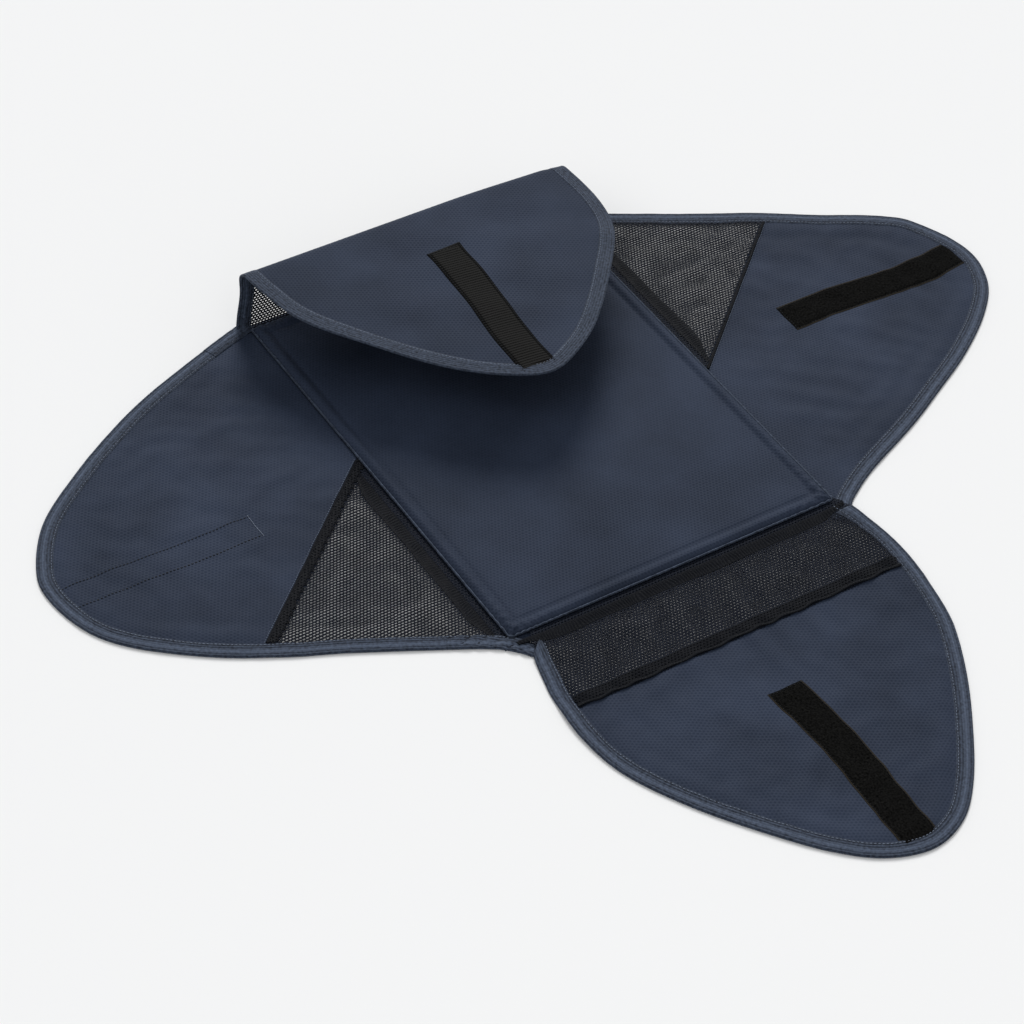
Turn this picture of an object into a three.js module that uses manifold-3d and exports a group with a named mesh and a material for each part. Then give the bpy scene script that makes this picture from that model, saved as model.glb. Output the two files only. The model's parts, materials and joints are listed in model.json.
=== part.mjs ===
// Garment folder: a stiffened rectangular base with four bound cloth wings, in millimetres, +Z up.
// The origin is the centre of the base's underside. +X is to the right and +Y to the back.
// Each wing is a wall that folds up from the base and a flap that folds over the clothes.
// It stands here with the back wing closed over the garment space and the other three laid open.

import * as THREE from 'three';
import { mergeVertices } from 'three/addons/utils/BufferGeometryUtils.js';
import Module from 'manifold-3d';

const wasm = await Module();
wasm.setup();

// ---- Driving dimensions ----

const BASE_HALF_X = 157;      // centre to the left and right fold lines
const BASE_HALF_Y = 206;      // centre to the front and back fold lines
const PAD_HALF_X = 148;       // centre to the edge of the raised pad
const PAD_HALF_Y = 198;
const PAD_CORNER_R = 7;

const CLOTH_T = 1.6;          // cloth, lining and mesh
const BOARD_T = 1.5;          // folding board inside the pad
const TAPE_T = 1.2;           // loop tape sewn on an inner face
const HOOK_T = 1.0;           // hook tape let into an outer face
const BINDING_T = 2.4;        // binding folded over the cloth's edge
const BINDING_W = 8.5;
const TAPE_W = 28;
const GAP = 0.3;              // between touching pieces
const FOLD_CLEARANCE = 1.2;   // binding stops this far from a fold line

const HEM_W = 9;              // hem at the outer end of the front mesh
const OUTLINE_STEPS = 44;     // facets along one wing's edge
const LEAD_IN = -12;          // an outline starts this far inside its fold line

// Control points of each wing's edge, from its fold line round the tip and back: distance out from
// the base, then distance across to the wing's own left. Cloth lies a little askew, so sides differ.
const EDGES = {
  back: [
    [LEAD_IN, 152], [0, 153], [60, 154], [92, 150], [136, 138], [186, 107], [244, 60], [272, 24],
    [282, -2],
    [273, -30], [249, -65], [206, -106], [156, -144], [112, -155], [60, -153], [0, -152], [LEAD_IN, -151],
  ],
  front: [
    [LEAD_IN, 153], [0, 154], [40, 157], [90, 156], [144, 149], [192, 129], [245, 92], [291, 48],
    [311, 1],
    [291, -45], [245, -88], [192, -124], [144, -147], [98, -155], [50, -152], [0, -148], [LEAD_IN, -147],
  ],
  side: [
    [LEAD_IN, 208], [0, 204], [43, 184], [143, 132], [213, 86], [250, 44],
    [266, -1],
    [257, -42], [234, -80], [194, -115], [143, -145], [43, -188], [0, -204], [LEAD_IN, -208],
  ],
};
const AT_FOLD = 1;            // the entry of an edge that lies on its fold line

// The seam that sets a side wing's mesh corner off from its cloth: (out, across) at its two ends.
const SEAM_INNER = new THREE.Vector2(0, -18);
const SEAM_OUTER = new THREE.Vector2(145, 110);

// Each wing closes a little higher than the one under it: back, front, left, right.
const WINGS = {
  back: {
    turn: 90, reach: BASE_HALF_Y, wall: 60, folded: 1, edge: EDGES.back,
    tape: { name: 'hook_strip', outerFace: true, from: 114, to: 267, across: -4 },
  },
  front: {
    turn: -90, reach: BASE_HALF_Y, wall: 66, folded: 0, edge: EDGES.front,
    tape: { name: 'loop_strip', outerFace: false, from: 134, to: 296, across: 0 },
  },
  left: {
    turn: 180, reach: BASE_HALF_X, wall: 71.5, folded: 0, edge: EDGES.side,
    tape: { name: 'hook_strip', outerFace: true, from: 93, to: 252, across: 1 },
  },
  right: {
    turn: 0, reach: BASE_HALF_X, wall: 77, folded: 0, edge: EDGES.side,
    tape: { name: 'loop_strip', outerFace: false, from: 83, to: 252, across: -6 },
  },
};

// ---- Materials ----

const LOOKS = {
  cloth: { color: 0x303a4e, roughness: 0.85, metalness: 0 },
  binding: { color: 0x38445c, roughness: 0.8, metalness: 0 },
  mesh: { color: 0x16191e, roughness: 0.7, metalness: 0 },
  hook: { color: 0x26282b, roughness: 0.6, metalness: 0 },
  loop: { color: 0x101012, roughness: 0.95, metalness: 0 },
  board: { color: 0x3a3d42, roughness: 0.5, metalness: 0 },
};

function addMesh(group, name, geometry, look) {
  const mesh = new THREE.Mesh(geometry, new THREE.MeshStandardMaterial(LOOKS[look]));
  mesh.name = name;
  group.add(mesh);
}

// ---- Flat shapes ----

// Keeps the part of a polygon where (point - on) . normal >= 0.
function clip(polygon, on, normal) {
  const kept = [];
  polygon.forEach((b, i) => {
    const a = polygon[(i + polygon.length - 1) % polygon.length];
    const sideA = normal.dot(a.clone().sub(on));
    const sideB = normal.dot(b.clone().sub(on));
    if (sideA * sideB < 0) {
      kept.push(a.clone().lerp(b, sideA / (sideA - sideB)));
    }
    if (sideB >= 0) {
      kept.push(b);
    }
  });
  return kept;
}

function outwardOf(polygon, distance) {
  return clip(polygon, new THREE.Vector2(distance, 0), new THREE.Vector2(1, 0));
}

function inwardOf(polygon, distance) {
  return clip(polygon, new THREE.Vector2(distance, 0), new THREE.Vector2(-1, 0));
}

function besideOf(polygon, side) {
  return clip(polygon, new THREE.Vector2(0, 0), new THREE.Vector2(0, side));
}

// One side of the mesh corner's seam: side is 1 for the mesh and -1 for the cloth.
function seamSide(polygon, side) {
  const along = SEAM_OUTER.clone().sub(SEAM_INNER).normalize();
  const normal = new THREE.Vector2(-along.y, along.x).multiplyScalar(side);
  const on = SEAM_INNER.clone().addScaledVector(normal, GAP / 2);
  return clip(polygon, on, normal);
}

function extrude(polygon, low, high) {
  const settings = { depth: high - low, bevelEnabled: false };
  const geometry = new THREE.ExtrudeGeometry(new THREE.Shape(polygon), settings);
  return geometry.translate(0, 0, low);
}

function rectangle(x0, x1, y0, y1) {
  return [
    new THREE.Vector2(x0, y0),
    new THREE.Vector2(x1, y0),
    new THREE.Vector2(x1, y1),
    new THREE.Vector2(x0, y1),
  ];
}

// A wing's edge, from its fold line round its tip and back, with x out from the base and y across.
function edgeCurve(points) {
  const curve = new THREE.SplineCurve(points.map(([out, across]) => new THREE.Vector2(out, across)));
  return curve.getSpacedPoints(OUTLINE_STEPS);
}

// The same edge moved in towards the wing's middle.
function movedIn(edge, distance) {
  return edge.map((point, i) => {
    const before = edge[Math.max(i - 1, 0)];
    const after = edge[Math.min(i + 1, edge.length - 1)];
    const along = after.clone().sub(before).normalize();
    return point.clone().addScaledVector(new THREE.Vector2(along.y, -along.x), distance);
  });
}

// ---- Booleans ----

function toSolid(geometry) {
  const bare = geometry.clone();
  bare.deleteAttribute('normal');
  bare.deleteAttribute('uv');
  const merged = mergeVertices(bare, 1e-4);
  return new wasm.Manifold(new wasm.Mesh({
    numProp: 3,
    vertProperties: new Float32Array(merged.attributes.position.array),
    triVerts: new Uint32Array(merged.index.array),
  }));
}

function cutAway(geometry, tool) {
  const result = toSolid(geometry).subtract(toSolid(tool)).getMesh();
  const cut = new THREE.BufferGeometry();
  cut.setAttribute('position', new THREE.BufferAttribute(result.vertProperties, 3));
  cut.setIndex(new THREE.BufferAttribute(result.triVerts, 1));
  return cut;
}

// ---- Base ----

// Each corner: its direction in x and y, and the half widths of its two wings at their fold lines.
function cornerOf(sx, sy, longWing, longEnd, sideEnd) {
  const across = (edge, end) => Math.abs(edge.at(end)[1]);
  return { sx, sy, longHalf: across(EDGES[longWing], longEnd), sideHalf: across(EDGES.side, sideEnd) };
}

const CORNERS = {
  back_right: cornerOf(1, 1, 'back', -1 - AT_FOLD, AT_FOLD),
  back_left: cornerOf(-1, 1, 'back', AT_FOLD, -1 - AT_FOLD),
  front_left: cornerOf(-1, -1, 'front', -1 - AT_FOLD, AT_FOLD),
  front_right: cornerOf(1, -1, 'front', AT_FOLD, -1 - AT_FOLD),
};

// The inner edge of the binding that turns through the notch between two wings.
function cornerArc(corner, grow) {
  const reachX = BASE_HALF_X - corner.longHalf + BINDING_W + grow;
  const reachY = BASE_HALF_Y - corner.sideHalf + BINDING_W + grow;
  const notchX = BASE_HALF_X - GAP;
  const notchY = BASE_HALF_Y - GAP;
  const arc = new THREE.EllipseCurve(notchX, notchY, reachX, reachY, Math.PI, 1.5 * Math.PI);
  return arc.getPoints(8).map((p) => new THREE.Vector2(p.x * corner.sx, p.y * corner.sy));
}

function roundedRectangle(halfX, halfY, radius) {
  const shape = new THREE.Shape();
  shape.absarc(halfX - radius, halfY - radius, radius, 0, Math.PI / 2);
  shape.absarc(radius - halfX, halfY - radius, radius, Math.PI / 2, Math.PI);
  shape.absarc(radius - halfX, radius - halfY, radius, Math.PI, 1.5 * Math.PI);
  shape.absarc(halfX - radius, radius - halfY, radius, 1.5 * Math.PI, 2 * Math.PI);
  return shape.getPoints(6);
}

function buildBase(group) {
  const notched = [];
  for (const corner of Object.values(CORNERS)) {
    const arc = cornerArc(corner, GAP);
    notched.push(...(corner.sx * corner.sy > 0 ? arc.reverse() : arc));
  }
  addMesh(group, 'base_panel', extrude(notched, 0, CLOTH_T), 'cloth');

  const boardLow = CLOTH_T + GAP;
  const boardHigh = boardLow + BOARD_T;
  const coverHigh = boardHigh + GAP + CLOTH_T;
  const inset = CLOTH_T + GAP;
  const board = roundedRectangle(PAD_HALF_X - inset, PAD_HALF_Y - inset, PAD_CORNER_R - inset);
  addMesh(group, 'folding_board', extrude(board, boardLow, boardHigh), 'board');

  const pad = roundedRectangle(PAD_HALF_X, PAD_HALF_Y, PAD_CORNER_R);
  const hollow = roundedRectangle(PAD_HALF_X - CLOTH_T, PAD_HALF_Y - CLOTH_T, PAD_CORNER_R - CLOTH_T);
  const cover = cutAway(extrude(pad, boardLow, coverHigh), extrude(hollow, 0, boardHigh + GAP));
  addMesh(group, 'base_cover', cover, 'cloth');

  for (const [name, corner] of Object.entries(CORNERS)) {
    const outline = [
      ...cornerArc(corner, 0),
      new THREE.Vector2(corner.sx * (BASE_HALF_X - GAP), corner.sy * corner.sideHalf),
      new THREE.Vector2(corner.sx * corner.longHalf, corner.sy * (BASE_HALF_Y - GAP)),
    ];
    addMesh(group, `corner_binding_${name}`, extrude(outline, 0, BINDING_T), 'binding');
  }
}

// ---- Wings ----

// Heights are from the inner face of the cloth, which lies on the fold axes.
const OUTER_FACE = -CLOTH_T;

// A binding strip between the wing's edge and the same edge moved in.
function bindingStrip(edge) {
  return [...edge, ...movedIn(edge, BINDING_W).reverse()];
}

function addPanel(group, name, polygon, look, shift) {
  const moved = polygon.map((p) => new THREE.Vector2(p.x - shift, p.y));
  addMesh(group, name, extrude(moved, OUTER_FACE, 0), look);
}

function addBinding(group, name, polygon, shift) {
  const moved = polygon.map((p) => new THREE.Vector2(p.x - shift, p.y));
  addMesh(group, name, extrude(moved, OUTER_FACE, OUTER_FACE + BINDING_T), 'binding');
}

// The flap's cloth, with a recess for a tape that is sewn on its outer face.
function addFlapPanel(group, name, polygon, tape, shift) {
  const moved = polygon.map((p) => new THREE.Vector2(p.x - shift, p.y));
  const panel = extrude(moved, OUTER_FACE, 0);
  if (!tape.outerFace) {
    addMesh(group, name, panel, 'cloth');
    return;
  }
  const recess = tapeOutline(tape, shift, GAP);
  const depth = HOOK_T + GAP;
  const cutter = extrude(recess, OUTER_FACE - depth, OUTER_FACE + depth);
  addMesh(group, name, cutAway(panel, cutter), 'cloth');
}

function tapeOutline(tape, shift, grow) {
  const half = TAPE_W / 2 + grow;
  return rectangle(
    tape.from - shift - grow, tape.to - shift + grow, tape.across - half, tape.across + half,
  );
}

function addTape(group, wingName, tape, shift) {
  const low = tape.outerFace ? OUTER_FACE : GAP;
  const high = tape.outerFace ? OUTER_FACE + HOOK_T : GAP + TAPE_T;
  const look = tape.outerFace ? 'hook' : 'loop';
  addMesh(group, `${wingName}_${tape.name}`, extrude(tapeOutline(tape, shift, 0), low, high), look);
}

// Groups that stand at a wing's two fold lines: x points out along the cloth and z off its inner face.
function foldGroups(root, wing) {
  const place = new THREE.Group();
  const turn = THREE.MathUtils.degToRad(wing.turn);
  place.position.set(wing.reach * Math.cos(turn), wing.reach * Math.sin(turn), CLOTH_T);
  place.rotation.z = turn;
  root.add(place);
  const wall = new THREE.Group();
  wall.rotation.y = -wing.folded * Math.PI / 2;
  place.add(wall);
  const flap = new THREE.Group();
  flap.position.x = wing.wall;
  flap.rotation.y = -wing.folded * Math.PI / 2;
  wall.add(flap);
  return { wall, flap };
}

function addWingBindings(name, wing, groups, edge, endNames) {
  const strip = bindingStrip(edge);
  endNames.forEach((endName, i) => {
    const side = i === 0 ? 1 : -1;
    const half = besideOf(strip, side);
    const piece = inwardOf(outwardOf(half, FOLD_CLEARANCE), wing.wall - FOLD_CLEARANCE);
    addBinding(groups.wall, `${name}_wall_binding_${endName}`, piece, 0);
  });
  const onFlap = outwardOf(strip, wing.wall + FOLD_CLEARANCE);
  addBinding(groups.flap, `${name}_flap_binding`, onFlap, wing.wall);
}

// Front and back wings: the wall is all mesh and the flap is cloth.
function buildLongWing(root, name) {
  const wing = WINGS[name];
  const groups = foldGroups(root, wing);
  const edge = edgeCurve(wing.edge);
  const inside = movedIn(edge, BINDING_W + GAP);
  const wallMesh = inwardOf(outwardOf(inside, GAP), wing.wall - GAP / 2);
  addPanel(groups.wall, `${name}_wall_mesh`, wallMesh, 'mesh', 0);

  let clothStart = wing.wall + GAP / 2;
  if (name === 'front') {
    const hem = inwardOf(outwardOf(inside, clothStart), wing.wall + HEM_W);
    addPanel(groups.flap, 'front_mesh_hem', hem, 'mesh', wing.wall);
    clothStart = wing.wall + HEM_W + GAP;
  }
  const cloth = outwardOf(inside, clothStart);
  addFlapPanel(groups.flap, `${name}_flap_panel`, cloth, wing.tape, wing.wall);
  addTape(groups.flap, name, wing.tape, wing.wall);
  const endNames = name === 'front' ? ['right', 'left'] : ['left', 'right'];
  addWingBindings(name, wing, groups, edge, endNames);
}

// Left and right wings: cloth, with a mesh corner that runs from the base out to the flap.
function buildSideWing(root, name) {
  const wing = WINGS[name];
  const groups = foldGroups(root, wing);
  const edge = edgeCurve(wing.edge);
  const inside = movedIn(edge, BINDING_W + GAP);
  const onWall = inwardOf(outwardOf(inside, GAP), wing.wall - GAP / 2);
  const onFlap = outwardOf(inside, wing.wall + GAP / 2);
  addPanel(groups.wall, `${name}_wall_panel`, seamSide(onWall, -1), 'cloth', 0);
  addPanel(groups.wall, `${name}_wall_mesh`, seamSide(onWall, 1), 'mesh', 0);
  addPanel(groups.flap, `${name}_flap_mesh`, seamSide(onFlap, 1), 'mesh', wing.wall);
  addFlapPanel(groups.flap, `${name}_flap_panel`, seamSide(onFlap, -1), wing.tape, wing.wall);
  addTape(groups.flap, name, wing.tape, wing.wall);
  const endNames = name === 'left' ? ['front', 'back'] : ['back', 'front'];
  addWingBindings(name, wing, groups, edge, endNames);
}

// ---- Assembly ----

const garmentFolder = new THREE.Group();
buildBase(garmentFolder);
buildLongWing(garmentFolder, 'back');
buildLongWing(garmentFolder, 'front');
buildSideWing(garmentFolder, 'left');
buildSideWing(garmentFolder, 'right');

export default garmentFolder;
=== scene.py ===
"""Looks for the garment folder: cloth wings, nets, bindings, strips, stitching, pad, floor and light.

Lengths are in millimetres and become metres in solid(). Each wing is worked out in its own flat
coordinates: v out from its fold line, u across, and w off the cloth's inner face.
"""

import json
import math

import bpy
import numpy as np
from mathutils import Matrix, Vector
from mathutils.geometry import delaunay_2d_cdt


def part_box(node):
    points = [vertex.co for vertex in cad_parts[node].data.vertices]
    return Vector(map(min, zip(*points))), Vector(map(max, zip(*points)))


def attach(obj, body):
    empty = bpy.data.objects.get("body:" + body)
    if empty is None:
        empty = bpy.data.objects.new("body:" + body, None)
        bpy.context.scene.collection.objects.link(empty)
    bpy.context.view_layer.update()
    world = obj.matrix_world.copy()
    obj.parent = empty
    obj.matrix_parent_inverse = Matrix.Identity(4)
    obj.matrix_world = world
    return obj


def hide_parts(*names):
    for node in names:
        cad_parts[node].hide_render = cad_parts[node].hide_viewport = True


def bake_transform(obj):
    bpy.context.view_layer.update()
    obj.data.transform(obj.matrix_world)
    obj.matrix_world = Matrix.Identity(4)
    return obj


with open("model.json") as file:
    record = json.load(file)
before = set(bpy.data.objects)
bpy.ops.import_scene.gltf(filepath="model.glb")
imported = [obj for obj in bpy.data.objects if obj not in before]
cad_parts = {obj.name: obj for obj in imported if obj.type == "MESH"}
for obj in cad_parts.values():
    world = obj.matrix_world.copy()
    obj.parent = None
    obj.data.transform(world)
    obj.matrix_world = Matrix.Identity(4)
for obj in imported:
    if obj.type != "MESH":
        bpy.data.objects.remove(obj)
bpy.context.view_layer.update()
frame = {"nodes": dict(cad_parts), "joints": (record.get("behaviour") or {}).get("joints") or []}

# ---- Sizes ----

MM = 0.001
CLOTH_T = 0.9            # cloth
INNER_Z = 1.6            # the inner face of a wing laid flat, which the fold axes lie on
FLOOR_CLEAR = 0.1
LEAD_IN = 8.0            # cloth that runs in under the pad from a fold line
BINDING_W = 13.2         # folded tape round a wing
STITCH_IN = 11.6         # binding stitches, in from the wing's edge
STITCH_PITCH = 3.0
STITCH_TOP = 0.62        # w of a binding's stitches on its upper side
STITCH_UNDER = -0.90     # and on its underside
TAPE_JOINT = 43.0        # where the left wing's tape overlaps itself, out from the fold line
STRIP_W = 31.0           # hook and loop strips
STRIP_STEP = 0.8         # distance between a strip's rows of points
STRIP_COLUMNS = 41
STRIP_STITCH_IN = {"back": 1.6, "front": 1.6, "left": 4.0, "right": 1.6}
SELVAGE_W = 2.6          # flat edge of a strip
CLOTH_STEP = 3.2         # distance between points of the cloth
EDGE_STEP = 1.0          # distance between points along a binding
TUCK = 3.0               # cloth and net stop this far inside the binding's outer edge
HEM_W = 9.5              # doubled net along the front wing's seam
SIDE_HEM_W = 7.0         # and along the left wing's
HEM_END = 13.6           # hems stop this far inside a wing's edge
NET_PITCH = 2.9          # distance between a net's holes
NET_HALF_T = 0.36
BAND_W = 9.0             # gathered net beside a fold line
SETTLE_STEP = 8.0        # distance between points of the simulated cloth
SETTLE_FRAMES = 30
MOST_LIFT = 3.2          # highest wave; the closed wings lie about 4 mm apart
PAD_RISE = 3.5           # height of the pad over the cloth
PAD_ROUND = 4.5          # width of its rounded edge
PAD_ROLL = 11.0          # width of the soft roll along it
PAD_CORNER = 2.6         # radius of its corners
WEAVE = 2.6              # distance between rows of the weave's pits
COS_30 = math.cos(math.radians(30))

# Control points of each wing's edge, from its fold line round the tip and back: (v, u).
EDGES = {
    "back": [
        (-12, 157), (0, 158), (14, 157), (36, 154), (60, 154), (92, 150), (136, 138), (186, 107),
        (244, 60), (272, 24),
        (282, -2),
        (273, -30), (249, -65), (206, -106), (156, -144), (112, -155), (60, -153), (0, -152), (-12, -151),
    ],
    "front": [
        (-12, 155), (0, 156), (20, 161), (40, 164), (60, 164.5), (80, 163), (100, 160), (143, 149.5),
        (190, 126), (235, 96.5), (275, 65.5), (300, 37),
        (310, 4),
        (300, -31), (275, -62), (235, -94.5), (190, -125), (143, -148), (100, -155.5), (60, -153),
        (40, -149), (20, -144), (0, -138), (-12, -134),
    ],
    "left": [
        (-18, 226), (-6, 211), (7, 200), (35, 184.5), (100, 151), (143, 131), (190, 104), (235, 67.5),
        (258, 34.5),
        (267.5, -8),
        (261.5, -40), (235, -82), (190, -118.5), (143, -149), (100, -171.5), (40, -195.5), (5, -208),
        (-12, -213),
    ],
    "right": [
        (-12, 209), (0, 203), (30, 185), (60, 168), (100, 145.5), (143, 123), (190, 93.5), (235, 67),
        (258, 43),
        (274.5, -6),
        (264, -47.5), (235, -80), (190, -112), (143, -137.5), (100, -159.5), (40, -185.5), (10, -202.5),
        (0, -211), (-16, -226),
    ],
}

# Where a wall's tape starts, as v on its outer edge, and how its start slants: (v, u) for each
# millimetre across it. Every other tape starts under the pad, square across.
TAPE_STARTS = {
    ("front", "left"): (16.0, (-1.12, 1.16)),
    ("front", "right"): (5.0, (-0.05, -1.20)),
    ("left", "front"): (-15.0, None),
    ("right", "front"): (-13.0, None),
}

# The seam between a side wing's net corner and its cloth: (v, u) at its two ends.
SEAM_INNER = np.array([0.0, -18.0])
SEAM_OUTER = np.array([145.0, 110.0])
SEAM_RUN = (SEAM_OUTER - SEAM_INNER) / np.linalg.norm(SEAM_OUTER - SEAM_INNER)
UNDERLAPS = {"left": 7.0, "right": 2.5}      # cloth that runs on under the net
# Half sizes of a net's holes, across and along their rows.
# The front net's holes are the smallest so that it looks darker, a stand-in for shade near the pad.
NET_HOLES = {"back": (0.50, 0.86), "front": (0.38, 0.84), "left": (0.58, 1.10), "right": (0.58, 1.10)}
DOUBLED_HOLE = (0.40, 0.52)


# ---- Small maths ----

def smooth(t):
    t = np.clip(t, 0, 1)
    return t * t * (3 - 2 * t)


def unit(v):
    return v / np.maximum(np.linalg.norm(v, axis=-1, keepdims=True), 1e-9)


def noise(x, y, seed=0):
    """Smooth noise from -1 to 1 with features about one unit apart."""
    column, row = np.floor(x), np.floor(y)
    fx, fy = smooth(x - column), smooth(y - row)

    def corner(i, j):
        raw = np.sin((column + i) * 127.1 + (row + j) * 311.7 + seed * 74.7) * 43758.5453
        return 2 * (raw - np.floor(raw)) - 1

    low = corner(0, 0) * (1 - fx) + corner(1, 0) * fx
    high = corner(0, 1) * (1 - fx) + corner(1, 1) * fx
    return low * (1 - fy) + high * fy


def waves(v, u, seed, longest):
    """Soft waves from about -1 to 1 that cross in several directions."""
    rng = np.random.default_rng(seed)
    total = 0.0
    for k in range(7):
        length = longest * rng.uniform(0.35, 1.0)
        turn, start = rng.uniform(0, math.pi), rng.uniform(0, 2 * math.pi)
        bent = 0.9 * np.sin(2 * math.pi * (u * math.cos(turn) - v * math.sin(turn)) / (2.6 * longest) + k)
        across = (v * math.cos(turn) + u * math.sin(turn)) / length
        total = total + (length / longest) * np.sin(2 * math.pi * across + bent + start)
    return total / 3.0


class Field:
    """Heights on an even grid, read between its points by a smooth cubic spline."""

    def __init__(self, start, step, heights):
        self.start = start
        self.step = step
        self.heights = heights

    def __call__(self, v, u):
        x = (np.asarray(v, float) - self.start[0]) / self.step
        y = (np.asarray(u, float) - self.start[1]) / self.step
        row, column = np.floor(x).astype(int), np.floor(y).astype(int)
        along, across = self.weights(x - row), self.weights(y - column)
        total = 0.0
        for i in range(4):
            for k in range(4):
                at = (np.clip(row + i - 1, 0, self.heights.shape[0] - 1),
                      np.clip(column + k - 1, 0, self.heights.shape[1] - 1))
                total = total + along[i] * across[k] * self.heights[at]
        return total

    @staticmethod
    def weights(t):
        return ((1 - t) ** 3 / 6, (3 * t**3 - 6 * t**2 + 4) / 6,
                (-3 * t**3 + 3 * t**2 + 3 * t + 1) / 6, t**3 / 6)


def resample(points, step):
    """The same line with points about one step apart."""
    points = np.asarray(points, float)
    run = np.concatenate([[0], np.cumsum(np.linalg.norm(np.diff(points, axis=0), axis=1))])
    count = max(2, int(round(run[-1] / step)) + 1)
    at = np.linspace(0, run[-1], count)
    return np.stack([np.interp(at, run, points[:, k]) for k in range(points.shape[1])], 1)


def spline(points, step):
    """A Catmull-Rom curve through the points."""
    p = np.array([points[0], *points, points[-1]], float)
    t = np.linspace(0, 1, 24, endpoint=False)[:, None]
    spans = []
    for a, b, c, d in zip(p, p[1:], p[2:], p[3:]):
        spans.append(0.5 * (2 * b + (c - a) * t + (2 * a - 5 * b + 4 * c - d) * t**2
                            + (3 * b - a - 3 * c + d) * t**3))
    return resample(np.concatenate([*spans, [p[-1]]]), step)


def tangents(line):
    return unit(np.gradient(line, axis=0))


def to_the_right(along):
    return np.stack([along[:, 1], -along[:, 0]], 1)


def moved_in(line, distance):
    """A wing's edge moved in: it runs clockwise, so its middle is on the right."""
    return line + to_the_right(tangents(line)) * distance


def clip(polygon, on, normal):
    """The part of a polygon where (point - on) . normal is not negative."""
    side = (polygon - on) @ normal
    kept = []
    for i, b in enumerate(polygon):
        a, side_a, side_b = polygon[i - 1], side[i - 1], side[i]
        if side_a * side_b < 0:
            kept.append(a + (b - a) * side_a / (side_a - side_b))
        if side_b >= 0:
            kept.append(b)
    return np.array(kept)


def inside(points, polygon):
    x, y = points[:, 0:1], points[:, 1:2]
    a, b = polygon, np.roll(polygon, -1, axis=0)
    crosses = (a[:, 1] > y) != (b[:, 1] > y)
    rise = np.where(b[:, 1] == a[:, 1], 1e-12, b[:, 1] - a[:, 1])
    at = a[:, 0] + (y - a[:, 1]) * (b[:, 0] - a[:, 0]) / rise
    return (crosses & (x < at)).sum(1) % 2 == 1


def far_from(points, line, distance):
    """Which points are further than distance from every point of the line."""
    near = np.full(len(points), 1e9)
    for start in range(0, len(line), 64):
        gap = points[:, None, :] - line[None, start:start + 64, :]
        near = np.minimum(near, (gap**2).sum(2).min(1))
    return near > distance**2


def triangulate(polygon, step):
    """Points and triangles that fill a closed outline evenly."""
    border = resample(np.concatenate([polygon, polygon[:1]]), step)[:-1]
    low, high = border.min(0), border.max(0)
    rows = np.arange(low[1], high[1], step * math.sqrt(3) / 2)
    columns = np.arange(low[0], high[0] + step, step)
    x, y = np.meshgrid(columns, rows)
    x = x + np.where(np.arange(len(rows)) % 2, step / 2, 0)[:, None]
    middle = np.stack([x.ravel(), y.ravel()], 1)
    middle = middle[inside(middle, border)]
    middle = middle[far_from(middle, border, 0.6 * step)]
    points = [Vector(p) for p in np.concatenate([border, middle])]
    made = delaunay_2d_cdt(points, [], [list(range(len(border)))], 1, 1e-4)
    points = np.array([tuple(p) for p in made[0]])
    faces = np.array([f for f in made[2] if len(f) == 3])
    a, b, c = points[faces[:, 0]], points[faces[:, 1]], points[faces[:, 2]]
    turn = (b[:, 0] - a[:, 0]) * (c[:, 1] - a[:, 1]) - (b[:, 1] - a[:, 1]) * (c[:, 0] - a[:, 0])
    faces[turn < 0] = faces[turn < 0][:, ::-1]
    return points, faces


# ---- Meshes ----

def solid(name, points, faces, uv, material, sharp=None):
    """A smooth-shaded mesh object from points in millimetres; edges over sharp degrees stay crisp."""
    mesh = bpy.data.meshes.new(name)
    mesh.from_pydata((np.asarray(points) * MM).tolist(), [], [list(map(int, f)) for f in faces])
    corners = np.zeros(len(mesh.loops), np.int32)
    mesh.loops.foreach_get("vertex_index", corners)
    layer = mesh.uv_layers.new(name="flat")
    layer.data.foreach_set("uv", np.asarray(uv, np.float32)[corners].ravel())
    mesh.polygons.foreach_set("use_smooth", [True] * len(mesh.polygons))
    mesh.materials.append(material)
    mesh.update()
    if sharp:
        mesh.set_sharp_from_angle(angle=math.radians(sharp))
    obj = bpy.data.objects.new(name, mesh)
    bpy.context.scene.collection.objects.link(obj)
    return obj


def open_edges(faces):
    """Edges that only one face has, in that face's direction."""
    count, kept = {}, {}
    for face in faces:
        face = [int(i) for i in face]
        for a, b in zip(face, face[1:] + face[:1]):
            key = (min(a, b), max(a, b))
            count[key] = count.get(key, 0) + 1
            kept[key] = (a, b)
    return [kept[key] for key, n in count.items() if n == 1]


def close_sheet(faces, total):
    """Faces of a closed sheet whose lower points follow its upper ones, total places on."""
    closed = [list(map(int, f)) for f in faces]
    lower = [[i + total for i in reversed(f)] for f in closed]
    sides = [[a, a + total, b + total, b] for a, b in open_edges(closed)]
    return closed + lower + sides


def flat_size(points, faces):
    """((width, length), area) of a flat sheet, in metres."""
    span = points.max(0) - points.min(0)
    area = 0.0
    for f in faces:
        p = points[np.asarray(f)]
        q = np.roll(p, -1, axis=0)
        area += abs((p[:, 0] * q[:, 1] - q[:, 0] * p[:, 1]).sum()) / 2
    return (float(span[1] * MM), float(span[0] * MM)), float(area * MM * MM)


# ---- Wings ----

JOINTS = {j["name"]: j for j in frame["joints"]}


def hinge(name):
    return np.array(JOINTS[name]["pos_m"], float) / MM


def bend(v, radius):
    """A line that turns a right angle at v = 0, rounded: (on along, up beside, angle turned)."""
    turn = np.clip((v + radius) / (2 * radius), 0, 1) * math.pi / 2
    along = np.where(v < -radius, v, -radius + radius * np.sin(turn))
    beside = np.where(v > radius, v, radius - radius * np.cos(turn))
    return along, beside, turn


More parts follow.
